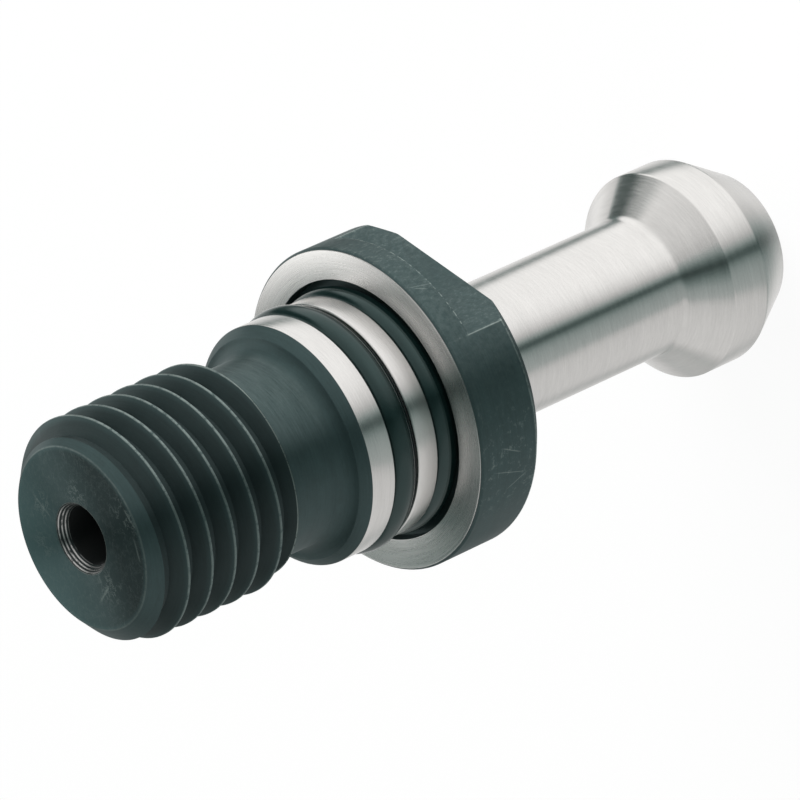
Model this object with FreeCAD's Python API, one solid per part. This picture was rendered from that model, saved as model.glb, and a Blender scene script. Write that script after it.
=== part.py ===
import FreeCAD, Part
import math
import os

# Pull stud for a steep-taper tool holder: a turned steel stud and the two rubber rings it carries.
# Millimetres. The stud stands on its head: the origin is the centre of the head's end face,
# +Z runs up the axis to the threaded end, and the wrench flats face +X and -X.

# Lengths along the axis, from the seat face where the flange meets the tool holder
SEAT_TO_HEAD_END = 35.0
SEAT_TO_THREAD_END = 25.0

# Head and stem, which the drawbar's gripper holds
HEAD_RADIUS = 7.5
HEAD_FLAT_RADIUS = 5.25
HEAD_CYLINDER_LENGTH = 3.1
NOSE_CONE_ANGLE = 30.0
GRIP_CONE_ANGLE = 45.0
STEM_RADIUS = 5.0
STEM_TO_HEAD_FILLET = 0.8
STEM_TO_FLANGE_FILLET = 2.0

# Flange with two wrench flats behind a full round rim
FLANGE_RADIUS = 11.5
FLANGE_THICKNESS = 6.0
FLANGE_BACK_CHAMFER = 1.0
FLANGE_RIM_CHAMFER = 0.2
RIM_THICKNESS = 2.0
ACROSS_FLATS = 18.8

# Rubber rings: round section, the radius of its centre line, and the gaps left to the steel
RING_SECTION = 2.0
RING_CENTRE_RADIUS = 7.8
RING_BOTTOM_GAP = 0.03
RING_SIDE_GAP = 0.06
SEAT_RECESS_GAP = 0.45

# The rings' section is drawn with this many sides
RING_SIDES = 12

# Ground pilot with a ring groove in its middle and another that runs into a recess in the seat face
PILOT_RADIUS = 8.5
PILOT_LENGTH = 7.7
PILOT_CHAMFER = 0.65
SEAT_RECESS_DEPTH = 0.9
SEAT_GROOVE_END = 1.15
PILOT_GROOVE_START = 2.89
GROOVE_EDGE_BREAK = 0.08

# Relief between the pilot and the thread
NECK_RADIUS = 6.7
NECK_FILLET = 1.1
NECK_END_ANGLE = 60.0

# Cylinder over the crests of the M16 x 2 thread, at the middle of the thread's tolerance
THREAD_RADIUS = 7.91
THREAD_LENGTH = 11.95
THREAD_CHAMFER = 1.55

# Coolant bore through the axis, with a 60 degree centre in each mouth, on which the stud is ground
COOLANT_BORE_RADIUS = 2.0
CENTRE_WIDENING = 0.47
CENTRE_HALF_ANGLE = 30.0

# Heights above the head's end face
SEAT_HEIGHT = SEAT_TO_HEAD_END
OVERALL_LENGTH = SEAT_TO_HEAD_END + SEAT_TO_THREAD_END
FLANGE_BACK_HEIGHT = SEAT_HEIGHT - FLANGE_THICKNESS
PILOT_END_HEIGHT = SEAT_HEIGHT + PILOT_LENGTH
THREAD_START_HEIGHT = OVERALL_LENGTH - THREAD_LENGTH
RECESS_FLOOR_HEIGHT = SEAT_HEIGHT - SEAT_RECESS_DEPTH

# The bore's mouths are wider than the bore
CENTRE_MOUTH_RADIUS = COOLANT_BORE_RADIUS + CENTRE_WIDENING

# The rings, their grooves and the recess share these values
RING_GROOVE_RADIUS = RING_CENTRE_RADIUS - RING_SECTION / 2 - RING_BOTTOM_GAP
RING_GROOVE_WIDTH = RING_SECTION + 2 * RING_SIDE_GAP
SEAT_RECESS_RADIUS = RING_CENTRE_RADIUS + RING_SECTION / 2 + SEAT_RECESS_GAP
SEAT_GROOVE_HEIGHT = SEAT_HEIGHT + SEAT_GROOVE_END
PILOT_RING_HEIGHT = SEAT_HEIGHT + PILOT_GROOVE_START + RING_GROOVE_WIDTH / 2
SEAT_RING_HEIGHT = (SEAT_GROOVE_HEIGHT + RECESS_FLOOR_HEIGHT) / 2

# Points nearer than this are the same point
SAME_POINT = 1e-6


def rise(run, angle):
    """Length along the axis of a cone that changes its radius by run, at an angle to the axis."""
    return run / math.tan(math.radians(angle))


def head_corners():
    """Head and stem, from the end face up to the flange: radius, height and fillet of each corner."""
    nose_top = rise(HEAD_RADIUS - HEAD_FLAT_RADIUS, NOSE_CONE_ANGLE)
    grip_edge = nose_top + HEAD_CYLINDER_LENGTH
    stem_start = grip_edge + rise(HEAD_RADIUS - STEM_RADIUS, GRIP_CONE_ANGLE)
    return [
        (CENTRE_MOUTH_RADIUS, 0.0, 0.0),
        (HEAD_FLAT_RADIUS, 0.0, 0.0),
        (HEAD_RADIUS, nose_top, 0.0),
        (HEAD_RADIUS, grip_edge, 0.0),
        (STEM_RADIUS, stem_start, STEM_TO_HEAD_FILLET),
        (STEM_RADIUS, FLANGE_BACK_HEIGHT, STEM_TO_FLANGE_FILLET),
    ]


def flange_corners():
    """Flange, its seat face, and the recess that leaves room for the ring beside it."""
    return [
        (FLANGE_RADIUS - FLANGE_BACK_CHAMFER, FLANGE_BACK_HEIGHT, 0.0),
        (FLANGE_RADIUS, FLANGE_BACK_HEIGHT + FLANGE_BACK_CHAMFER, 0.0),
        (FLANGE_RADIUS, SEAT_HEIGHT - FLANGE_RIM_CHAMFER, 0.0),
        (FLANGE_RADIUS - FLANGE_RIM_CHAMFER, SEAT_HEIGHT, 0.0),
        (SEAT_RECESS_RADIUS, SEAT_HEIGHT, 0.0),
        (SEAT_RECESS_RADIUS, RECESS_FLOOR_HEIGHT, 0.0),
    ]


def groove_corners(low, high):
    """The two bottom corners of a ring groove."""
    return [
        (RING_GROOVE_RADIUS, low, 0.0),
        (RING_GROOVE_RADIUS, high, 0.0),
    ]


def band_corners(low, high, high_chamfer):
    """A ground band of the pilot, with a broken edge below and a chamfer above."""
    return [
        (PILOT_RADIUS - GROOVE_EDGE_BREAK, low, 0.0),
        (PILOT_RADIUS, low + GROOVE_EDGE_BREAK, 0.0),
        (PILOT_RADIUS, high - high_chamfer, 0.0),
        (PILOT_RADIUS - high_chamfer, high, 0.0),
    ]


def pilot_corners():
    """Ring groove, band, ring groove and band, from the flange upwards."""
    groove_low = PILOT_RING_HEIGHT - RING_GROOVE_WIDTH / 2
    groove_high = PILOT_RING_HEIGHT + RING_GROOVE_WIDTH / 2
    return (
        groove_corners(RECESS_FLOOR_HEIGHT, SEAT_GROOVE_HEIGHT)
        + band_corners(SEAT_GROOVE_HEIGHT, groove_low, GROOVE_EDGE_BREAK)
        + groove_corners(groove_low, groove_high)
        + band_corners(groove_high, PILOT_END_HEIGHT, PILOT_CHAMFER)
    )


def thread_corners():
    """Neck, and the cylinder over the thread's crests with its end chamfer."""
    neck_end = THREAD_START_HEIGHT - rise(THREAD_RADIUS - NECK_RADIUS, NECK_END_ANGLE)
    return [
        (NECK_RADIUS, PILOT_END_HEIGHT, NECK_FILLET),
        (NECK_RADIUS, neck_end, 0.0),
        (THREAD_RADIUS, THREAD_START_HEIGHT, 0.0),
        (THREAD_RADIUS, OVERALL_LENGTH - THREAD_CHAMFER, 0.0),
        (THREAD_RADIUS - THREAD_CHAMFER, OVERALL_LENGTH, 0.0),
    ]


def bore_corners():
    """Coolant bore, from the centre at the threaded end down to the one in the head."""
    centre_depth = rise(CENTRE_WIDENING, CENTRE_HALF_ANGLE)
    return [
        (CENTRE_MOUTH_RADIUS, OVERALL_LENGTH, 0.0),
        (COOLANT_BORE_RADIUS, OVERALL_LENGTH - centre_depth, 0.0),
        (COOLANT_BORE_RADIUS, centre_depth, 0.0),
    ]


def point(radius, height):
    """A point of a turned profile, in the XZ plane."""
    return FreeCAD.Vector(radius, 0.0, height)


def outline(corners):
    """Closed wire through the corners, each rounded by a tangent arc where it has a fillet."""
    edges = []
    ends = []
    count = len(corners)
    for i, (radius, height, fillet) in enumerate(corners):
        here = point(radius, height)
        before = point(*corners[i - 1][:2])
        after = point(*corners[(i + 1) % count][:2])
        if fillet == 0.0:
            ends.append((here, here, None))
            continue
        back = (before - here).normalize()
        ahead = (after - here).normalize()
        half_angle = back.getAngle(ahead) / 2
        tangent_length = fillet / math.tan(half_angle)
        middle_direction = (back + ahead).normalize()
        middle = here + middle_direction * (fillet / math.sin(half_angle) - fillet)
        ends.append((here + back * tangent_length, here + ahead * tangent_length, middle))
    for i, (start, end, middle) in enumerate(ends):
        if middle is not None:
            edges.append(Part.Arc(start, middle, end).toShape())
        following = ends[(i + 1) % count][0]
        if (following - end).Length > SAME_POINT:
            edges.append(Part.LineSegment(end, following).toShape())
    return Part.Wire(edges)


def turned(corners):
    """Solid of revolution around the axis, from the corners of its half section."""
    section = Part.Face(outline(corners))
    return section.revolve(FreeCAD.Vector(0, 0, 0), FreeCAD.Vector(0, 0, 1), 360)


def flat_cutters():
    """Two blocks that leave the wrench flats and stop short of the rim."""
    height = FLANGE_THICKNESS - RIM_THICKNESS
    width = 2 * FLANGE_RADIUS
    depth = FLANGE_RADIUS
    cutters = []
    for low_x in (ACROSS_FLATS / 2, -ACROSS_FLATS / 2 - depth):
        corner = FreeCAD.Vector(low_x, -width / 2, FLANGE_BACK_HEIGHT)
        cutters.append(Part.makeBox(depth, width, height, corner))
    return cutters


def stud_body():
    """The steel stud, one piece: turned from bar, then milled flat on two sides of the flange."""
    body = turned(head_corners() + flange_corners() + pilot_corners() + thread_corners() + bore_corners())
    for cutter in flat_cutters():
        body = body.cut(cutter)
    return body


def rubber_ring(height):
    """A rubber ring around the axis, in its groove."""
    corners = []
    for side in range(RING_SIDES):
        angle = 2 * math.pi * side / RING_SIDES
        radius = RING_CENTRE_RADIUS + RING_SECTION / 2 * math.cos(angle)
        corners.append((radius, height + RING_SECTION / 2 * math.sin(angle), 0.0))
    return turned(corners)


PIECES = {
    "stud_body": stud_body(),
    "pilot_o_ring": rubber_ring(PILOT_RING_HEIGHT),
    "seat_o_ring": rubber_ring(SEAT_RING_HEIGHT),
}

os.makedirs("parts", exist_ok=True)
for name, shape in PIECES.items():
    shape.exportStep(f"parts/{name}.step")
    box = shape.BoundBox
    print(name, "solids", len(shape.Solids), "valid", shape.isValid(), "volume mm3", round(shape.Volume, 2),
          "height", round(box.ZMin, 3), "to", round(box.ZMax, 3))
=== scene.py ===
import math

import bmesh
import bpy
from bpy.props import FloatProperty, FloatVectorProperty, IntProperty, PointerProperty
from bpy.types import Operator, Panel, PropertyGroup
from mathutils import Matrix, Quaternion, Vector


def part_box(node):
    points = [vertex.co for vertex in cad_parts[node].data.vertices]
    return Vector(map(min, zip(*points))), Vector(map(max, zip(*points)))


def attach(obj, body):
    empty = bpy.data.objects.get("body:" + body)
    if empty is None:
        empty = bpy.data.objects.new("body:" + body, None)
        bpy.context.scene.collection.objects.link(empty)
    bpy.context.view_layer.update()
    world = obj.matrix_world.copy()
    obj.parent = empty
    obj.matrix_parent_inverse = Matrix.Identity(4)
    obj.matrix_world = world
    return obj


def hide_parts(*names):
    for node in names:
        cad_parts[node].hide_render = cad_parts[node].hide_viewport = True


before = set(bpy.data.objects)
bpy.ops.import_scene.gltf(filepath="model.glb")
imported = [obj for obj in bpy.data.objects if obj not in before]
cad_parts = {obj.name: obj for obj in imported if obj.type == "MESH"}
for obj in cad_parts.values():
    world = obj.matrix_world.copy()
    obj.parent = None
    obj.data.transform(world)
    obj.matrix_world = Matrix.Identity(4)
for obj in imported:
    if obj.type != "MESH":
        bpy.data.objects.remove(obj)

bl_info = {
    "name": "Pull stud",
    "version": (1, 0, 0),
    "blender": (4, 5, 0),
    "location": "View3D > Sidebar > Pull stud",
    "description": "Turned steel pull stud with its rubber rings, on a pale floor",
    "category": "Object",
}

MM = 0.001
BODY = "root"

# Boxes of the frame's solids, from which the main sizes are taken
STUD_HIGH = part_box("stud_body")[1]
PILOT_RING_LOW, PILOT_RING_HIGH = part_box("pilot_o_ring")
SEAT_RING_LOW, SEAT_RING_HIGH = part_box("seat_o_ring")

# Corners of the profile are rounded in more steps where the rounding is larger than this
LARGE_ROUNDING = 0.5 * MM
LARGE_ROUNDING_STEPS = 8
SMALL_ROUNDING_STEPS = 3

# Edges that turn by more than this are shown sharp
SHARP_ANGLE = math.radians(28)

# Roundings of the stud's edges and corners
BAND_SIDE_EDGE = 0.02 * MM
BAND_EDGE = 0.03 * MM
CENTRE_EDGE = 0.03 * MM
SEAT_EDGE = 0.04 * MM
TURNED_EDGE = 0.05 * MM
PILOT_END_EDGE = 0.06 * MM
FLANGE_EDGE = 0.08 * MM
END_FACE_EDGE = 0.08 * MM
GRIP_EDGE = 0.10 * MM
INNER_CORNER = 0.10 * MM
HEAD_EDGE = 0.12 * MM
STEM_TO_HEAD_FILLET = 0.33 * MM
NECK_FILLET = 1.1 * MM
STEM_TO_FLANGE_FILLET = 2.0 * MM

# The thread's flanks and the neck's cone are this far off a plane across the axis, and the centres in the
# bore's mouths this far off the axis
CONE_ANGLE = math.radians(30)

# The thread's groove starts this far under the thread's own start, and reaches this far past the crests
GROOVE_LEAD_IN = 0.98 * MM
GROOVE_OVERLAP = 0.14 * MM
GROOVE_TURNS = 7

# The blocks that leave the wrench flats are this deep, and start this far below the flange
FLAT_BLOCK_DEPTH = 6.0 * MM
FLAT_BLOCK_OVERLAP = 0.5 * MM

RING_SECTION_SIDES = 32
FLOOR_HALF_WIDTH = 3.0
LAMP_AIM = Vector((0.0, 0.0, 30.0 * MM))
# Near black of the bore: partly its black oxide and partly painted shade deep inside it
BORE_OXIDE_AND_SHADE = (0.003, 0.006, 0.006)

# Parts of x and y in the direction that is up in the photo, where the stud lies and doesn't stand
UP_X = 0.846
UP_Y = 0.533


def length(name, description, default):
    """A size in metres that can be set in the sidebar."""
    return FloatProperty(name=name, description=description, default=default, min=0.0, precision=5,
                         unit="LENGTH")


def colour(name, description, default):
    """A colour that can be set in the sidebar."""
    return FloatVectorProperty(name=name, description=description, default=default, min=0.0, max=1.0, size=3,
                               subtype="COLOR")


class StudSizes(PropertyGroup):
    """Sizes of the turned stud."""

    overall: length("Overall length", "From the head's end face to the threaded end", STUD_HIGH.z)
    seat: length("Seat height", "From the head's end face to the seat face", 35.0 * MM)
    head_radius: length("Head radius", "Radius of the gripping head", 7.5 * MM)
    head_flat_radius: length("Head flat radius", "Radius of the head's flat end", 5.25 * MM)
    nose_height: length("Nose height", "Height of the cone at the head's end", 3.897 * MM)
    head_band: length("Head band", "Length of the head's cylinder", 3.1 * MM)
    stem_radius: length("Stem radius", "Radius of the stem", 5.0 * MM)
    flange_radius: length("Flange radius", "Radius of the flange", STUD_HIGH.x)
    flange_thickness: length("Flange thickness", "From the flange's back to the seat face", 6.0 * MM)
    flange_chamfer: length("Flange chamfer", "Chamfer at the flange's back", 1.0 * MM)
    rim_chamfer: length("Rim chamfer", "Chamfer between the rim and the seat face", 0.2 * MM)
    rim_thickness: length("Rim thickness", "Full round rim beside the wrench flats", 2.0 * MM)
    across_flats: length("Across flats", "Width over the wrench flats", 18.8 * MM)
    recess_radius: length("Recess radius", "Recess in the seat face", 9.25 * MM)
    recess_depth: length("Recess depth", "Depth of the recess in the seat face", 0.9 * MM)
    groove_radius: length("Groove radius", "Bottom of the ring grooves", 6.77 * MM)
    groove_width: length("Groove width", "Width of a ring groove", 2.12 * MM)
    seat_groove_end: length("Seat groove end", "From the seat face to the first band", 1.15 * MM)
    pilot_groove_start: length("Pilot groove start", "From the seat face to the second groove", 2.89 * MM)
    band_chamfer: length("Band chamfer", "Broken edges of the ground bands", 0.08 * MM)
    pilot_radius: length("Pilot radius", "Radius of the two ground bands", 8.5 * MM)
    pilot_length: length("Pilot length", "From the seat face to the pilot's end", 7.7 * MM)
    pilot_chamfer: length("Pilot chamfer", "Chamfer at the pilot's end", 0.65 * MM)
    neck_radius: length("Neck radius", "Relief between the pilot and the thread", 6.7 * MM)
    thread_radius: length("Thread radius", "Radius over the thread's crests", 7.91 * MM)
    thread_root: length("Thread root radius", "Radius at the bottom of the thread", 6.75 * MM)
    thread_pitch: length("Thread pitch", "Rise of the thread in one turn", 2.0 * MM)
    thread_length: length("Thread length", "From the neck's end to the threaded end", 11.95 * MM)
    thread_chamfer: length("Thread chamfer", "Chamfer at the threaded end", 1.55 * MM)
    crest_width: length("Crest width", "Width of the flat on the thread's crest", 0.15 * MM)
    bore_radius: length("Bore radius", "Coolant bore", 2.0 * MM)
    mouth_radius: length("Mouth radius", "Wide end of the centre in each mouth of the bore", 2.47 * MM)
    steps: IntProperty(name="Steps", description="Steps around the axis", default=256, min=32)


class RingSizes(PropertyGroup):
    """Sizes of the two rubber rings, as the frame's rings have them."""

    section: length("Section", "Diameter of the rings' round section", PILOT_RING_HIGH.z - PILOT_RING_LOW.z)
    outer_radius: length("Outer radius", "Outer radius of the rings", PILOT_RING_HIGH.x)
    pilot_height: length("Pilot ring height", "Middle of the ring on the pilot",
                         (PILOT_RING_HIGH.z + PILOT_RING_LOW.z) / 2)
    seat_height: length("Seat ring height", "Middle of the ring beside the flange",
                        (SEAT_RING_HIGH.z + SEAT_RING_LOW.z) / 2)
    steps: IntProperty(name="Steps", description="Steps around the axis", default=192, min=32)


class Finishes(PropertyGroup):
    """Colours of the stud and its rings."""

    bare_steel: colour("Bare steel", "Ground and turned steel", (0.80, 0.79, 0.775))
    oxide: colour("Black oxide", "Blackened steel", (0.048, 0.086, 0.087))
    # The worn oxide colour is also the colour of the painted highlight on the crests and the painted sheen on
    # the rim and neck
    worn_oxide_and_sheen: colour("Worn oxide", "Steel that shows at worn edges", (0.37, 0.44, 0.42))
    rubber: colour("Rubber", "Black rubber", (0.004, 0.011, 0.0105))
    floor: colour("Floor", "Pale floor", (0.86, 0.86, 0.855))


class StageSettings(PropertyGroup):
    """Where the camera stands, where it looks and its lens."""

    aim: FloatVectorProperty(name="Aim", description="Point that the camera looks at", size=3, unit="LENGTH",
                             default=(-0.260 * MM, -0.274 * MM, 31.918 * MM))
    distance: length("Distance", "From the camera to the point it looks at", 453.026 * MM)
    azimuth: FloatProperty(name="Azimuth", description="Side that the camera looks from", unit="ROTATION",
                           default=math.radians(46.481))
    elevation: FloatProperty(name="Elevation", description="Height that the camera looks from",
                             unit="ROTATION", default=math.radians(36.559))
    roll: FloatProperty(name="Roll", description="Turn of the camera around its line of sight",
                        unit="ROTATION", default=math.radians(114.491))
    lens: FloatProperty(name="Lens", description="Focal length in millimetres", default=302.515)


def new_object(name, bm):
    """Object at the origin with the bmesh as its mesh."""
    mesh = bpy.data.meshes.new(name)
    bm.to_mesh(mesh)
    bm.free()
    piece = bpy.data.objects.new(name, mesh)
    bpy.context.scene.collection.objects.link(piece)
    return piece


def shade(piece):
    """Smooth shading, with the edges that turn far left sharp."""
    piece.data.shade_smooth()
    piece.data.set_sharp_from_angle(angle=SHARP_ANGLE)


def turned(corners, steps):
    """Closed profile of (radius, height, rounding) corners, rounded and spun around the axis."""
    bm = bmesh.new()
    verts = [bm.verts.new((radius, 0.0, height)) for radius, height, rounding in corners]
    for here, there in zip(verts, verts[1:] + verts[:1]):
        bm.edges.new((here, there))
    for vert, corner in zip(verts, corners):
        rounding = corner[2]
        if rounding > 0.0:
            segments = LARGE_ROUNDING_STEPS if rounding > LARGE_ROUNDING else SMALL_ROUNDING_STEPS
            bmesh.ops.bevel(bm, geom=[vert], offset=rounding, offset_type="ABSOLUTE", segments=segments,
                            profile=0.5, affect="VERTICES", material=-1)
    bmesh.ops.spin(bm, geom=bm.verts[:] + bm.edges[:], cent=(0, 0, 0), axis=(0, 0, 1), angle=math.tau,
                   steps=steps, use_merge=True)
    bmesh.ops.recalc_face_normals(bm, faces=bm.faces[:])
    return bm


def helix(section, pitch, turns, steps):
    """Section of (radius, height) points swept up around the axis, right-handed, and closed at its ends."""
    bm = bmesh.new()
    verts = [bm.verts.new((radius, 0.0, height)) for radius, height in section]
    face = bm.faces.new(verts)
    bmesh.ops.spin(bm, geom=[face] + face.edges[:] + verts, cent=(0, 0, 0), axis=(0, 0, 1),
                   dvec=(0, 0, pitch / steps), angle=math.tau * turns, steps=turns * steps, use_merge=False)
    bmesh.ops.recalc_face_normals(bm, faces=bm.faces[:])
    return bm


def cut(piece, bm):
    """Takes the bmesh's shape away from the piece."""
    cutter = new_object("cutter", bm)
    boolean = piece.modifiers.new("cut", "BOOLEAN")
    boolean.operation = "DIFFERENCE"
    boolean.solver = "EXACT"
    boolean.object = cutter
    whole = piece.data
    graph = bpy.context.evaluated_depsgraph_get()
    piece.data = bpy.data.meshes.new_from_object(piece.evaluated_get(graph))
    piece.modifiers.clear()
    piece.data.name = whole.name
    bpy.data.meshes.remove(whole)
    bpy.data.meshes.remove(cutter.data)


class Wire:
    """A number that varies over a surface: Python's operators on it add Math nodes."""

    def __init__(self, tree, socket):
        self.tree = tree
        self.socket = socket

    def math(self, operation, *operands, clamp=False):
        values = dict(enumerate((self, *operands)))
        return self.tree.add("ShaderNodeMath", {"operation": operation, "use_clamp": clamp}, values)[0]

    def __add__(self, other):
        return self.math("ADD", other)

    def __sub__(self, other):
        return self.math("SUBTRACT", other)

    def __rsub__(self, other):
        return (self * -1.0) + other

    def __mul__(self, other):
        return self.math("MULTIPLY", other)

    def __truediv__(self, other):
        return self.math("DIVIDE", other)

    def __pow__(self, other):
        return self.math("POWER", other)

    def __abs__(self):
        return self.math("ABSOLUTE")

    __radd__ = __add__
    __rmul__ = __mul__

    def clamped(self):
        return self.math("ADD", 0.0, clamp=True)

    def over(self, edge, softness):
        """1 where the number is over the edge and 0 where it is under it."""
        return self.math("SUBTRACT", edge - softness / 2).math("DIVIDE", softness, clamp=True)

    def under(self, edge, softness):
        return 1.0 - self.over(edge, softness)

    def between(self, low, high, softness):
        return self.over(low, softness) * self.under(high, softness)

    def near(self, middle, width):
        """1 at the middle, falling to 0 at that width on either side."""
        return (1.0 - abs(self - middle) / width).clamped()

    def either(self, other):
        return self.math("MAXIMUM", other)


class Tree:
    """The nodes of a material or of the world."""

    def __init__(self, owner):
        owner.use_nodes = True
        self.nodes = owner.node_tree.nodes
        self.links = owner.node_tree.links
        self.nodes.clear()

    def add(self, kind, settings=None, values=None):
        """A node of that kind. Its settings come first, then its sockets' values or wires."""
        node = self.nodes.new(kind)
        for name, setting in (settings or {}).items():
            if name == "stops":
                self.set_stops(node.color_ramp, setting)
            else:
                setattr(node, name, setting)
        for key, value in (values or {}).items():
            socket = self.find(node, key)
            if isinstance(value, Wire):
                self.links.new(value.socket, socket)
            else:
                socket.default_value = value
        return [Wire(self, output) for output in node.outputs if output.enabled]

    @staticmethod
    def find(node, key):
        if isinstance(key, int):
            return node.inputs[key]
        return next(socket for socket in node.inputs if socket.enabled and socket.name == key)

    @staticmethod
    def set_stops(ramp, stops):
        """Puts the grey stops on the ramp, and the first one's grey at its start."""
        ramp.elements.remove(ramp.elements[1])
        ramp.elements[0].position = 0.0
        ramp.elements[0].color = (stops[0][1],) * 3 + (1.0,)
        for position, grey in stops:
            ramp.elements.new(position).color = (grey, grey, grey, 1.0)

    def ramp(self, height, stops):
        """Grey by height from -1 to 1."""
        stops = [((level + 1.0) / 2, grey) for level, grey in stops]
        return self.add("ShaderNodeValToRGB", {"stops": stops}, {"Fac": (height + 1.0) * 0.5})[0]

    def noise(self, vector, scale, detail, roughness):
        return self.add("ShaderNodeTexNoise", {"noise_dimensions": "3D"},
                        {"Vector": vector, "Scale": scale, "Detail": detail, "Roughness": roughness})[0]

    def combine(self, x, y, z):
        return self.add("ShaderNodeCombineXYZ", None, {"X": x, "Y": y, "Z": z})[0]

    def mix(self, factor, first, second):
        """Colour between two colours."""
        return self.add("ShaderNodeMix", {"data_type": "RGBA", "clamp_factor": True},
                        {"Factor": factor, "A": self.opaque(first), "B": self.opaque(second)})[0]

    @staticmethod
    def opaque(value):
        return value if isinstance(value, Wire) else (*value, 1.0)

    def place(self):
        """Place on the object in millimetres: x, y and height."""
        object_coordinates = self.add("ShaderNodeTexCoord")[3]
        x, y, z = self.add("ShaderNodeSeparateXYZ", None, {"Vector": object_coordinates})
        return x / MM, y / MM, z / MM


# Marks on the flange's rim, by the angle around the axis in degrees and the height in millimetres, and on the
# threaded end face, by x and y in millimetres: each goes from its first point to its second
RIM_SCRATCHES = (
    ((-11.5, 34.6), (-13.2, 33.1)),
    ((-12.5, 34.3), (-14.5, 33.6)),
    ((-84.0, 33.6), (-88.0, 31.2)),
    ((-92.5, 32.4), (-89.0, 30.9)),
    ((-76.0, 33.0), (-79.5, 31.6)),
)
FACE_SCRATCHES = (
    ((0.5, 4.8), (-0.1, 3.2)),
    ((4.6, -3.7), (3.9, -4.8)),
    ((2.9, -4.9), (1.7, -5.6)),
    ((-2.1, -3.0), (-3.6, -2.4)),
)

# Patches of the end face where its faint wisps show most: x, y and reach in millimetres
FACE_PATCHES = (
    (0.3, 4.0, 0.8),
    (3.0, 0.9, 0.8),
    (4.2, -3.8, 1.1),
    (-1.9, -3.1, 1.0),
    (-2.6, 3.5, 0.7),
)


def scratches(lines, across, up, width):
    """1 on the lines, which are given by the two coordinates across and up."""
    marks = 0.0
    for (x0, y0), (x1, y1) in lines:
        long = math.hypot(x1 - x0, y1 - y0)
        step_x, step_y = (x1 - x0) / long, (y1 - y0) / long
        aside, ahead = across - x0, up - y0
        along = aside * step_x + ahead * step_y
        beside = abs(aside * step_y - ahead * step_x)
        marks = beside.under(width, width) * along.between(0.0, long, long * 0.3) + marks
    return marks


class StudSurface:
    """A point of the stud's surface: its place and the stud's sizes there, in millimetres, and its noises."""

    def __init__(self, tree, sizes):
        x, y, z = tree.place()
        radius = (x * x + y * y) ** 0.5
        around_x, around_y = x / radius, y / radius
        self.x, self.y, self.z, self.radius = x, y, z, radius
        self.angle = y.math("ARCTAN2", x) * math.degrees(1.0)

        self.top = sizes.overall / MM
        self.seat_height = sizes.seat / MM
        self.flange_back = self.seat_height - sizes.flange_thickness / MM
        self.rim_back = self.seat_height - sizes.rim_thickness / MM
        self.pilot_end = self.seat_height + sizes.pilot_length / MM
        self.thread_start = self.top - sizes.thread_length / MM
        self.chamfer_start = self.top - sizes.thread_chamfer / MM
        self.flange_radius = sizes.flange_radius / MM
        self.recess_radius = sizes.recess_radius / MM
        self.crest_radius = sizes.thread_radius / MM
        self.end_radius = self.crest_radius - sizes.thread_chamfer / MM
        self.neck_radius = sizes.neck_radius / MM
        self.mouth_radius = sizes.mouth_radius / MM
        self.bore_radius = sizes.bore_radius / MM
        self.flat_x = sizes.across_flats / 2 / MM
        self.flat_end_y = math.sqrt(self.flange_radius ** 2 - self.flat_x ** 2)
        self.from_middle = abs(z - self.top / 2)

        where = tree.combine(x, y, z)
        self.cloud = tree.noise(where, 0.55, 4.0, 0.6)
        self.grain = tree.noise(where, 7.0, 3.0, 0.6)
        self.chipping = tree.noise(where, 2.6, 3.0, 0.7)
        self.wisp = tree.noise(where, 0.75, 6.0, 0.72)
        self.scuffs = tree.noise(tree.combine(x + y * 0.4, y * 2.4 - x, z * 1.4), 1.5, 5.0, 0.78)
        around = tree.combine(around_x * 2.5, around_y * 2.5, radius * 9.0)
        self.ring_break = tree.noise(around, 1.0, 3.0, 0.7)

        # Turning marks run around the axis, and the lines lie beside each other on cylinder, cone and face
        line = z + radius * 2.3
        self.fine_lines = tree.noise(tree.combine(around_x * 4.0, around_y * 4.0, line * 9.0), 1.0, 2.0, 0.6)
        self.broad_lines = tree.noise(tree.combine(around_x * 0.7, around_y * 0.7, line * 1.6), 1.0, 2.0, 0.5)
        self.lines = (
            (self.fine_lines - 0.5) * 1.6 + (self.broad_lines - 0.5) * 0.7 + (self.grain - 0.5) * 0.6 + 0.5
        ).clamped()

        # The flange's rim, its two flats and the threaded end face
        self.rim = radius.over(self.flange_radius - 0.08, 0.03)
        self.flats = abs(x).near(self.flat_x, 0.06)
        on_end = radius.between(self.mouth_radius + 0.08, self.end_radius - 0.06, 0.1)
        self.face = z.over(self.top - 0.04, 0.02) * on_end


def ground_bands(stud, sizes):
    """1 on the pilot's two ground bands."""
    seat_groove_end = stud.seat_height + sizes.seat_groove_end / MM
    pilot_groove = stud.seat_height + sizes.pilot_groove_start / MM
    pilot_groove_end = pilot_groove + sizes.groove_width / MM
    chamfer = stud.pilot_end - sizes.pilot_chamfer / MM
    inner_band = stud.z.between(seat_groove_end - 0.02, pilot_groove + 0.02, 0.02)
    outer_band = stud.z.between(pilot_groove_end - 0.02, chamfer, 0.03)
    return (inner_band + outer_band) * stud.radius.over(sizes.pilot_radius / MM - 0.3, 0.1)


def bare_seat(stud):
    """1 on the seat face."""
    ring = stud.radius.between(stud.recess_radius + 0.02, stud.flange_radius - 0.16, 0.03)
    return stud.z.between(stud.seat_height - 0.07, stud.seat_height + 0.05, 0.02) * ring


def bare_stem(stud, sizes):
    """1 on the stem and the head, but not in the bore."""
    stem = stud.z.under(stud.flange_back + 0.05, 0.05) * stud.radius.under(sizes.head_radius / MM - 0.2, 0.1)
    head = stud.z.under(stud.flange_back - 9.0, 1.0)
    return stem.either(head) * stud.radius.over(stud.mouth_radius + 0.05, 0.03)


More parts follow.
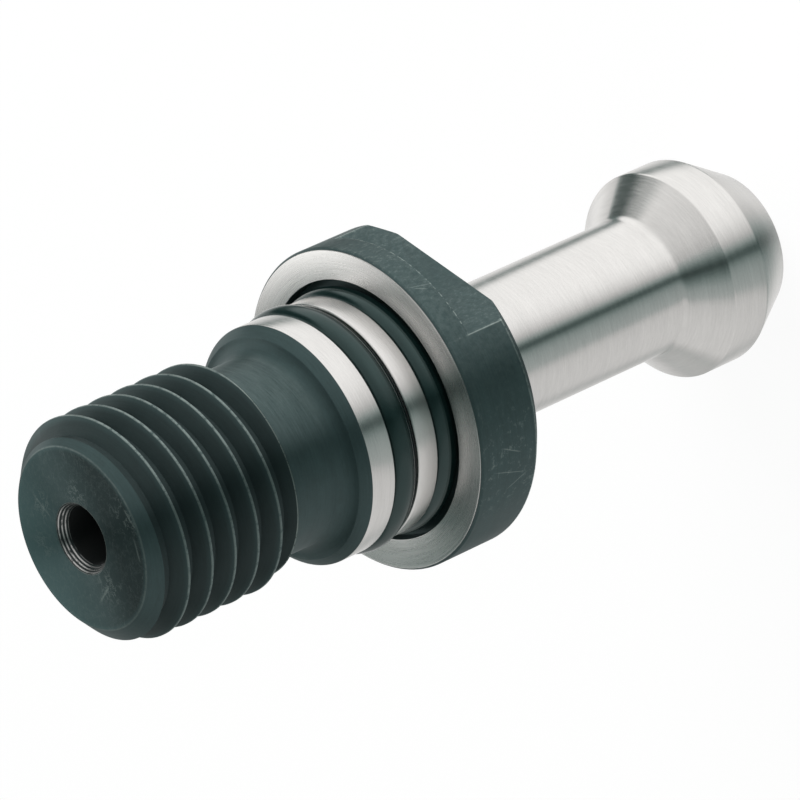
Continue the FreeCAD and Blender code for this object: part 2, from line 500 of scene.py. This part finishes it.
def thread_burr(stud, sizes):
    """1 on the thin burr where the thread's last turn runs out on the neck's cone."""
    slope = math.tan(CONE_ANGLE)
    pitch = sizes.thread_pitch / MM
    crest_width = sizes.crest_width / MM
    groove_start = stud.thread_start - GROOVE_LEAD_IN / MM
    flank_at_axis = groove_start - (pitch - crest_width) / 2 + stud.crest_radius * slope
    neck_cone_at_axis = stud.thread_start - stud.crest_radius * slope
    turn = stud.angle + stud.angle.under(0.0, 0.1) * 360.0
    burr_radius = (turn * (pitch / 360.0) + (flank_at_axis - neck_cone_at_axis)) / (2 * slope)
    burr_height = burr_radius * slope + neck_cone_at_axis
    burr = abs(stud.radius - burr_radius).under(0.06, 0.04) * abs(stud.z - burr_height).under(0.06, 0.04)
    return burr * turn.over(215.0, 25.0) * stud.chipping.over(0.40, 0.15)


def edge_wear_and_highlights(stud, sizes):
    """Bright wear on the edges of the blackened steel, with painted highlight on the thread's crests,
    brighter on one side.
    """
    z, radius, chipping = stud.z, stud.radius, stud.chipping
    crests = z.over(stud.thread_start - 0.05, 0.1) * radius.over(stud.crest_radius - 0.04, 0.02)
    # Crests: partly wear where the oxide chips, and partly painted highlight, brighter between -30 and 60
    # degrees around the axis, where the light falls
    crests = crests * chipping.over(0.40, 0.22) * (0.30 + stud.angle.between(-30.0, 60.0, 60.0) * 0.32)
    chamfer_edge_height = stud.flange_back + sizes.flange_chamfer / MM
    rim_edges = radius.over(stud.flange_radius - 0.10, 0.04) * (
        z.near(stud.rim_back, 0.11) * abs(stud.x).over(stud.flat_x - 0.05, 0.05) * chipping.over(0.52, 0.10)
        + z.near(chamfer_edge_height, 0.14) * chipping.over(0.42, 0.2) * 0.8
    )
    flat_ends = (
        abs(stud.x).near(stud.flat_x, 0.10) * abs(stud.y).near(stud.flat_end_y, 0.07)
        * z.under(stud.rim_back, 0.05) * radius.over(stud.flange_radius - 0.2, 0.1)
    )
    face_edge = z.over(stud.top - 0.07, 0.03) * radius.near(stud.end_radius, 0.10) * chipping.over(0.35, 0.4)
    chamfer_edge = radius.near(stud.crest_radius - 0.01, 0.05) * z.near(stud.chamfer_start, 0.10)
    chamfer_edge = chamfer_edge * chipping.over(0.45, 0.2)
    mouth_edge = radius.near(stud.mouth_radius + 0.03, 0.05) * stud.from_middle.over(stud.top / 2 - 0.1, 0.05)
    mouth_edge = mouth_edge * chipping.over(0.45, 0.2)
    return (
        crests + rim_edges * 0.8 + flat_ends * 0.8 + face_edge * 0.30 + chamfer_edge * 0.35
        + thread_burr(stud, sizes) * 0.8 + mouth_edge * 0.6
    )


def bore_centres(stud):
    """1 in the centres of the bore's mouths, and 1 on the bright turning rings in them."""
    centres = stud.radius.between(stud.bore_radius + 0.06, stud.mouth_radius + 0.03, 0.02)
    centres = centres * stud.from_middle.over(stud.top / 2 - 0.85, 0.05)
    rings = (stud.radius * 8.5).math("FRACT").near(0.5, 0.36) * stud.ring_break.over(0.42, 0.10)
    return centres, centres * rings


def marks_and_painted_sheen(stud):
    """Scratches, faint wisps on the end face, scuffs, small bright specks, and painted sheen on the upper
    side of the rim and the neck.
    """
    x, y, z, radius, angle = stud.x, stud.y, stud.z, stud.radius, stud.angle
    rim_marks = scratches(RIM_SCRATCHES, angle, z, 0.08) * stud.rim * 0.3
    face_marks = scratches(FACE_SCRATCHES, x, y, 0.07) * stud.face * 0.25
    patches = 0.25
    for patch_x, patch_y, reach in FACE_PATCHES:
        away = ((x - patch_x) ** 2.0 + (y - patch_y) ** 2.0) ** 0.5
        patches = away.under(reach, reach) + patches
    wisps = stud.wisp.near(0.5, 0.022) * patches * stud.face * 0.36

    outer_flats = stud.flats * radius.over(9.5, 1.0)
    # Painted sheen: the upper side of the rim, the flats and the upper side of the neck are painted lighter.
    # On the rim it follows the scuffs and is partly wear, and on the neck it follows the turning lines
    upper_rim = stud.rim * angle.between(-45.0, 60.0, 40.0) + outer_flats
    neck = z.between(stud.pilot_end + 0.6, stud.thread_start - 0.75, 0.5)
    neck = neck * radius.under(stud.neck_radius + 0.3, 0.2) * angle.between(-35.0, 60.0, 40.0)
    scuffs_and_painted_sheen = upper_rim * (stud.scuffs.over(0.50, 0.2) * 0.10 + 0.01) + neck * stud.lines * 0.16

    rubbed = stud.rim * angle.between(-100.0, -62.0, 12.0) * 0.5 + outer_flats * 0.35
    front_rim = stud.rim * angle.between(-10.0, 40.0, 20.0)
    scuff = stud.scuffs.over(0.60, 0.08) * (stud.face * 0.12 + rubbed * 0.42 + front_rim * 0.2)
    specks = stud.grain.over(0.70, 0.03) * stud.chipping.over(0.5, 0.2) * (stud.face + stud.rim + stud.flats)
    return rim_marks + face_marks + wisps + scuffs_and_painted_sheen + scuff + specks * 0.35


def oxide_colour(tree, stud, finishes):
    """Blackened steel is cloudy, with painted shade down in the thread and painted light on the end face,
    lighter towards one side.
    """
    # deep is painted shade for the thread's groove, and pale is painted light for the end face
    dark, light, deep, pale = ([c * share for c in finishes.oxide] for share in (0.70, 1.20, 0.12, 4.0))
    cloudy = stud.cloud.over(0.5, 0.5) * 0.3 + stud.scuffs.over(0.5, 0.4) * 0.2 + stud.lines * 0.5
    oxide = tree.mix(cloudy.clamped(), dark, light)
    off_chamfer = (stud.radius + stud.z).under(stud.end_radius + stud.top - 0.21, 0.2)
    # Painted shade: the thread's flanks and roots are painted darker towards the deep colour, where the
    # groove's shade falls
    threaded = stud.z.over(stud.thread_start - 0.55, 0.3) * off_chamfer
    flanks = stud.radius.under(stud.crest_radius - 0.08, 0.05) * 0.15
    roots = stud.radius.under(stud.crest_radius - 0.21, 0.3) * 0.35
    oxide = tree.mix(threaded * (flanks + roots), oxide, deep)
    # Painted light: the end face is painted lighter towards the pale colour, most towards +y and least
    # towards +x, as light falling from one side
    painted_end_face_light = stud.face * (stud.y * 0.04 - stud.x * 0.03 + 0.17).clamped()
    return tree.mix(painted_end_face_light, oxide, pale)


def steel_material(sizes, finishes):
    """Ground and turned steel, blackened on the thread, neck and flange."""
    material = bpy.data.materials.new("blackened_and_ground_steel")
    tree = Tree(material)
    stud = StudSurface(tree, sizes)

    # Where the blackening is ground or turned off, and where it is worn or painted with highlight and sheen
    pilot_bands = ground_bands(stud, sizes)
    seat_face = bare_seat(stud)
    centres, centre_rings = bore_centres(stud)
    bare = (pilot_bands + seat_face + bare_stem(stud, sizes)).clamped().either(centre_rings * 0.9)
    # worn holds the wear and also the painted highlight on the crests and the painted sheen on the rim and
    # neck
    worn = (edge_wear_and_highlights(stud, sizes) + marks_and_painted_sheen(stud)).clamped() * (1.0 - bare)

    oxide = tree.mix(worn, oxide_colour(tree, stud, finishes), finishes.worn_oxide_and_sheen)
    dull_steel = [c * 0.84 for c in finishes.bare_steel]
    steel = tree.mix((stud.lines - 0.5) * (seat_face * 0.7 + 0.8) + 0.5, dull_steel, finishes.bare_steel)
    base = tree.mix(bare, oxide, steel)
    # The bore is painted near black, partly black oxide and partly painted shade where light doesn't reach.
    # The centres between their bright rings are darkened part way towards it
    bore = stud.radius.under(stud.bore_radius + 0.08, 0.04)
    base = tree.mix(bore.either(centres * (1.0 - centre_rings) * 0.6), base, BORE_OXIDE_AND_SHADE)

    rough_oxide = 0.48 + (stud.cloud - 0.5) * 0.16 + stud.face * 0.14 - worn * 0.10 + bore * 0.4
    rough_steel = 0.20 + (stud.fine_lines - 0.5) * 0.10 + pilot_bands * 0.03 + seat_face * 0.08

    # The seat face mirrors as if it were a little domed
    dome = seat_face * (stud.radius - (stud.recess_radius + 0.05)) * -36.0
    texture = stud.grain * ((1.0 - bare) * 0.6 + 0.35)
    relief = stud.fine_lines * (seat_face * 0.4 + 0.65) + stud.broad_lines * 0.4 + texture + dome
    normal = tree.add("ShaderNodeBump", None, {"Strength": 0.6, "Distance": 0.006 * MM, "Height": relief})[0]
    surface = tree.add("ShaderNodeBsdfPrincipled", None, {
        "Base Color": base,
        "Metallic": bare.either(worn) * 0.3 + 0.7,
        "Roughness": rough_oxide + (rough_steel - rough_oxide) * bare,
        "IOR": 1.85,
        "Anisotropic": 0.9,
        "Anisotropic Rotation": 0.25,
        "Normal": normal,
    })[0]
    tree.add("ShaderNodeOutputMaterial", None, {"Surface": surface})
    return material


def rubber_material(finishes):
    """Black rubber with a faint bloom."""
    material = bpy.data.materials.new("black_rubber")
    tree = Tree(material)
    where = tree.combine(*tree.place())
    grain = tree.noise(where, 7.0, 4.0, 0.6)
    bloom = tree.noise(where, 0.9, 3.0, 0.6)
    base = tree.mix(bloom.over(0.55, 0.3) * 0.4, finishes.rubber, [c * 1.9 for c in finishes.rubber])
    normal = tree.add("ShaderNodeBump", None, {"Strength": 0.5, "Distance": 0.008 * MM, "Height": grain})[0]
    surface = tree.add("ShaderNodeBsdfPrincipled", None, {
        "Base Color": base,
        "Roughness": 0.17 + (bloom - 0.5) * 0.12,
        "IOR": 1.62,
        "Specular Tint": (0.72, 1.0, 0.98, 1.0),
        "Normal": normal,
    })[0]
    tree.add("ShaderNodeOutputMaterial", None, {"Surface": surface})
    return material


def floor_material(finishes):
    """Pale floor that the camera sees as white, with the stud's soft shadow on it."""
    material = bpy.data.materials.new("pale_floor")
    tree = Tree(material)
    grain = tree.noise(tree.combine(*tree.place()), 0.02, 2.0, 0.5)
    base = tree.mix(grain, finishes.floor, [c * 0.985 for c in finishes.floor])
    surface = tree.add("ShaderNodeBsdfPrincipled", None, {"Base Color": base, "Roughness": 0.9})[0]
    white = tree.add("ShaderNodeEmission", None, {"Color": (1.0, 1.0, 1.0, 1.0), "Strength": 1.07})[0]
    camera_ray = tree.add("ShaderNodeLightPath")[0]
    seen = tree.add("ShaderNodeMixShader", None, {0: camera_ray * 0.85, 1: surface, 2: white})[0]
    tree.add("ShaderNodeOutputMaterial", None, {"Surface": seen})
    return material


def stud_corners(sizes):
    """Half section of the stud, from the bore's lower mouth around the outside: radius, height, rounding."""
    seat = sizes.seat
    top = sizes.overall
    back = seat - sizes.flange_thickness
    grip_edge = sizes.nose_height + sizes.head_band
    stem_start = grip_edge + sizes.head_radius - sizes.stem_radius
    pilot_end = seat + sizes.pilot_length
    thread_start = top - sizes.thread_length
    neck_end = thread_start - (sizes.thread_radius - sizes.neck_radius) * math.tan(CONE_ANGLE)
    recess_floor = seat - sizes.recess_depth
    groove = sizes.groove_radius
    seat_groove_end = seat + sizes.seat_groove_end
    pilot_groove = seat + sizes.pilot_groove_start
    pilot_groove_end = pilot_groove + sizes.groove_width
    pilot = sizes.pilot_radius
    edge = sizes.band_chamfer
    centre_depth = (sizes.mouth_radius - sizes.bore_radius) / math.tan(CONE_ANGLE)
    return [
        (sizes.mouth_radius, 0.0, TURNED_EDGE),
        (sizes.head_flat_radius, 0.0, HEAD_EDGE),
        (sizes.head_radius, sizes.nose_height, HEAD_EDGE),
        (sizes.head_radius, grip_edge, GRIP_EDGE),
        (sizes.stem_radius, stem_start, STEM_TO_HEAD_FILLET),
        (sizes.stem_radius, back, STEM_TO_FLANGE_FILLET),
        (sizes.flange_radius - sizes.flange_chamfer, back, FLANGE_EDGE),
        (sizes.flange_radius, back + sizes.flange_chamfer, FLANGE_EDGE),
        (sizes.flange_radius, seat - sizes.rim_chamfer, TURNED_EDGE),
        (sizes.flange_radius - sizes.rim_chamfer, seat, TURNED_EDGE),
        (sizes.recess_radius, seat, SEAT_EDGE),
        (sizes.recess_radius, recess_floor, INNER_CORNER),
        (groove, recess_floor, INNER_CORNER),
        (groove, seat_groove_end, INNER_CORNER),
        (pilot - edge, seat_groove_end, BAND_SIDE_EDGE),
        (pilot, seat_groove_end + edge, BAND_EDGE),
        (pilot, pilot_groove - edge, BAND_EDGE),
        (pilot - edge, pilot_groove, BAND_SIDE_EDGE),
        (groove, pilot_groove, INNER_CORNER),
        (groove, pilot_groove_end, INNER_CORNER),
        (pilot - edge, pilot_groove_end, BAND_SIDE_EDGE),
        (pilot, pilot_groove_end + edge, BAND_EDGE),
        (pilot, pilot_end - sizes.pilot_chamfer, PILOT_END_EDGE),
        (pilot - sizes.pilot_chamfer, pilot_end, TURNED_EDGE),
        (sizes.neck_radius, pilot_end, NECK_FILLET),
        (sizes.neck_radius, neck_end, INNER_CORNER),
        (sizes.thread_radius, thread_start, TURNED_EDGE),
        (sizes.thread_radius, top - sizes.thread_chamfer, TURNED_EDGE),
        (sizes.thread_radius - sizes.thread_chamfer, top, END_FACE_EDGE),
        (sizes.mouth_radius, top, TURNED_EDGE),
        (sizes.bore_radius, top - centre_depth, CENTRE_EDGE),
        (sizes.bore_radius, centre_depth, CENTRE_EDGE),
    ]


def thread_groove(sizes):
    """The groove between the turns of the outer thread."""
    outside = sizes.thread_radius + GROOVE_OVERLAP
    slope = math.tan(CONE_ANGLE)
    wide = (sizes.thread_pitch - sizes.crest_width) / 2 + (outside - sizes.thread_radius) * slope
    narrow = wide - (outside - sizes.thread_root) * slope
    start = sizes.overall - sizes.thread_length - GROOVE_LEAD_IN
    section = [
        (sizes.thread_root, start - narrow),
        (outside, start - wide),
        (outside, start + wide),
        (sizes.thread_root, start + narrow),
    ]
    return helix(section, sizes.thread_pitch, GROOVE_TURNS, sizes.steps)


def flat_block(sizes, side):
    """The block that leaves a wrench flat on one side, short of the rim."""
    low = sizes.seat - sizes.flange_thickness - FLAT_BLOCK_OVERLAP
    high = sizes.seat - sizes.rim_thickness
    bm = bmesh.new()
    bmesh.ops.create_cube(bm, size=1.0)
    bmesh.ops.scale(bm, vec=(FLAT_BLOCK_DEPTH, 3 * sizes.flange_radius, high - low), verts=bm.verts[:])
    middle = side * (sizes.across_flats + FLAT_BLOCK_DEPTH) / 2
    bmesh.ops.translate(bm, vec=(middle, 0.0, (low + high) / 2), verts=bm.verts[:])
    return bm


class MakeStud(Operator):
    """Turn the stud, cut its thread and wrench flats, and give it its finish"""

    bl_idname = "pull_stud.make_stud"
    bl_label = "Stud"

    def execute(self, context):
        sizes = context.scene.stud_sizes
        piece = new_object("turned_stud", turned(stud_corners(sizes), sizes.steps))
        cut(piece, thread_groove(sizes))
        for side in (1, -1):
            cut(piece, flat_block(sizes, side))
        shade(piece)
        piece.data.materials.clear()
        piece.data.materials.append(steel_material(sizes, context.scene.finishes))
        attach(piece, BODY)
        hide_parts("stud_body")
        return {"FINISHED"}


def ring(sizes, height):
    """Round section, turned upright and spun around the axis at that height."""
    bm = bmesh.new()
    circle = bmesh.ops.create_circle(bm, cap_ends=False, radius=sizes.section / 2,
                                     segments=RING_SECTION_SIDES)
    upright = Quaternion((1, 0, 0), math.pi / 2).to_matrix()
    bmesh.ops.rotate(bm, cent=(0, 0, 0), matrix=upright, verts=circle["verts"])
    middle = sizes.outer_radius - sizes.section / 2
    bmesh.ops.translate(bm, vec=(middle, 0.0, height), verts=circle["verts"])
    bmesh.ops.spin(bm, geom=bm.verts[:] + bm.edges[:], cent=(0, 0, 0), axis=(0, 0, 1), angle=math.tau,
                   steps=sizes.steps, use_merge=True)
    bmesh.ops.recalc_face_normals(bm, faces=bm.faces[:])
    return bm


class MakeRings(Operator):
    """Make the two rubber rings in their grooves"""

    bl_idname = "pull_stud.make_rings"
    bl_label = "Rubber rings"

    def execute(self, context):
        sizes = context.scene.ring_sizes
        material = rubber_material(context.scene.finishes)
        for name, node, height in (
            ("pilot_rubber_ring", "pilot_o_ring", sizes.pilot_height),
            ("seat_rubber_ring", "seat_o_ring", sizes.seat_height),
        ):
            piece = new_object(name, ring(sizes, height))
            shade(piece)
            piece.data.materials.append(material)
            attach(piece, BODY)
            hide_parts(node)
        return {"FINISHED"}


def viewing_direction(azimuth, elevation):
    """Direction from the aim towards a camera at that side and height."""
    flat = math.cos(elevation)
    return Vector((flat * math.sin(azimuth), -flat * math.cos(azimuth), math.sin(elevation)))


def make_camera(settings):
    """Camera at the photograph's viewing angle."""
    data = bpy.data.cameras.new("camera")
    data.lens = settings.lens
    data.sensor_width = 36.0
    data.clip_start = 0.01
    camera = bpy.data.objects.new("camera", data)
    bpy.context.scene.collection.objects.link(camera)
    towards = viewing_direction(settings.azimuth, settings.elevation)
    camera.location = Vector(settings.aim) + towards * settings.distance
    turn = (-towards).to_track_quat("-Z", "Y") @ Quaternion((0, 0, 1), -settings.roll)
    camera.rotation_mode = "QUATERNION"
    camera.rotation_quaternion = turn
    bpy.context.scene.camera = camera


def make_lamp(name, towards, distance, size, power):
    """Square soft lamp that shines at the stud from that direction."""
    data = bpy.data.lights.new(name, "AREA")
    data.shape = "SQUARE"
    data.size = size
    data.energy = power
    lamp = bpy.data.objects.new(name, data)
    bpy.context.scene.collection.objects.link(lamp)
    direction = Vector(towards).normalized()
    lamp.location = LAMP_AIM + direction * distance
    lamp.rotation_mode = "QUATERNION"
    lamp.rotation_quaternion = (-direction).to_track_quat("-Z", "Y")
    lamp.visible_glossy = False


# What the bare steel mirrors in front, by the height over the level of the table's far edge, from -1 to 1:
# the pale table, the dark room over it and the soft box over that
FRONT_LIGHT = (
    (-0.85, 0.76),
    (-0.57, 0.68),
    (-0.46, 0.45),
    (-0.26, 0.38),
    (-0.16, 0.32),
    (-0.08, 0.21),
    (-0.03, 0.10),
    (0.03, 0.10),
    (0.09, 0.25),
    (0.16, 0.46),
    (0.32, 0.80),
    (0.50, 1.05),
    (0.70, 1.15),
)


def make_world():
    """White for the camera; for the bare steel a studio with a soft box, a pale table and a dark room."""
    world = bpy.data.worlds.new("studio")
    bpy.context.scene.world = world
    tree = Tree(world)
    where = tree.add("ShaderNodeTexCoord")[0]
    x, y, z = tree.add("ShaderNodeSeparateXYZ", None, {"Vector": where})

    # Up and away from the camera as the photo has them, where the stud lies
    up = x * UP_X + y * UP_Y
    back = y * UP_X - x * UP_Y

    # In front of the stud the light goes by the height over the table's far edge
    horizon = up + back * 0.126 + z * 0.02 + 0.11
    front = tree.ramp(horizon, FRONT_LIGHT)
    front = front * (1.0 - abs(horizon).under(0.22, 0.20) * z.over(0.3, 0.8) * 0.45)

    # Behind it a wall stands under the bright soft box, with a dark gap between the two
    from_gap = up - z * 0.264 - 0.617
    half_gap = z * 0.06 + 0.10
    wall_light = (0.62 - z * 0.80).math("MINIMUM", 0.96).math("MAXIMUM", 0.06)
    lit_wall = up.over(-0.06, 0.22) * z.under(0.78, 0.24) * (z.over(0.3, 0.4) * 0.8 + 1.0)
    low_end = up.under(-0.47, 0.36) * z.under(-0.15, 0.40)
    wall_falls_off = (1.0 - low_end * 0.44) * (1.0 - from_gap.over(-0.22, 0.30) * 0.35)
    wall = wall_light.either(lit_wall) * wall_falls_off
    over_gap = from_gap.math("SUBTRACT", half_gap)
    under_gap = (0.0 - from_gap) - half_gap
    gap_light = 0.22 - z.over(-0.2, 0.5) * 0.14
    behind = over_gap.over(0.05, 0.12) * (1.18 - gap_light) + under_gap.over(0.02, 0.06) * (wall - gap_light)
    behind = behind + gap_light

    side = back.over(0.30, 0.20)
    box_falls_off = 1.0 - z.over(0.35, 0.7) * up.over(0.2, 0.3) * 0.35
    studio = (front * (1.0 - side) + behind * side) * box_falls_off

    # The camera sees the background white
    camera_ray = tree.add("ShaderNodeLightPath")[0]
    strength = studio * (1.0 - camera_ray) + camera_ray
    tint = tree.mix(studio.over(0.30, 0.60).either(camera_ray), (0.66, 1.0, 0.94), (1.0, 0.995, 0.985))
    surface = tree.add("ShaderNodeBackground", None, {"Color": tint, "Strength": strength})[0]
    tree.add("ShaderNodeOutputWorld", None, {"Surface": surface})


class MakeStage(Operator):
    """Make the pale floor, the soft lamps, the surroundings and the camera"""

    bl_idname = "pull_stud.make_stage"
    bl_label = "Stage"

    def execute(self, context):
        scene = context.scene
        bm = bmesh.new()
        bmesh.ops.create_grid(bm, x_segments=1, y_segments=1, size=FLOOR_HALF_WIDTH)
        floor = new_object("floor", bm)
        floor.data.materials.append(floor_material(scene.finishes))
        floor.visible_glossy = False
        make_lamp("soft_light", (0.80, 0.50, 0.25), distance=0.60, size=0.50, power=2.7)
        make_lamp("front_fill", (0.3, -0.9, 0.4), distance=0.70, size=0.60, power=0.5)
        make_world()
        make_camera(scene.stage_settings)
        scene.view_settings.view_transform = "Standard"
        return {"FINISHED"}


class StudPanel(Panel):
    """The stud's pieces and sizes in the sidebar"""

    bl_label = "Pull stud"
    bl_idname = "PULLSTUD_PT_panel"
    bl_space_type = "VIEW_3D"
    bl_region_type = "UI"
    bl_category = "Pull stud"

    def draw(self, context):
        for operator in OPERATORS:
            self.layout.operator(operator.bl_idname)
        for name in GROUPS:
            group = getattr(context.scene, name)
            for setting in type(group).__annotations__:
                self.layout.prop(group, setting)


OPERATORS = (MakeStud, MakeRings, MakeStage)
GROUPS = {
    "stud_sizes": StudSizes,
    "ring_sizes": RingSizes,
    "finishes": Finishes,
    "stage_settings": StageSettings,
}


def register():
    for item in (*GROUPS.values(), *OPERATORS, StudPanel):
        bpy.utils.register_class(item)
    for name, group in GROUPS.items():
        setattr(bpy.types.Scene, name, PointerProperty(type=group))


def unregister():
    for name in GROUPS:
        delattr(bpy.types.Scene, name)
    for item in reversed((*GROUPS.values(), *OPERATORS, StudPanel)):
        bpy.utils.unregister_class(item)


def main():
    register()
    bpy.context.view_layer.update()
    bpy.ops.pull_stud.make_stud()
    bpy.ops.pull_stud.make_rings()
    bpy.ops.pull_stud.make_stage()


if __name__ == "__main__":
    main()
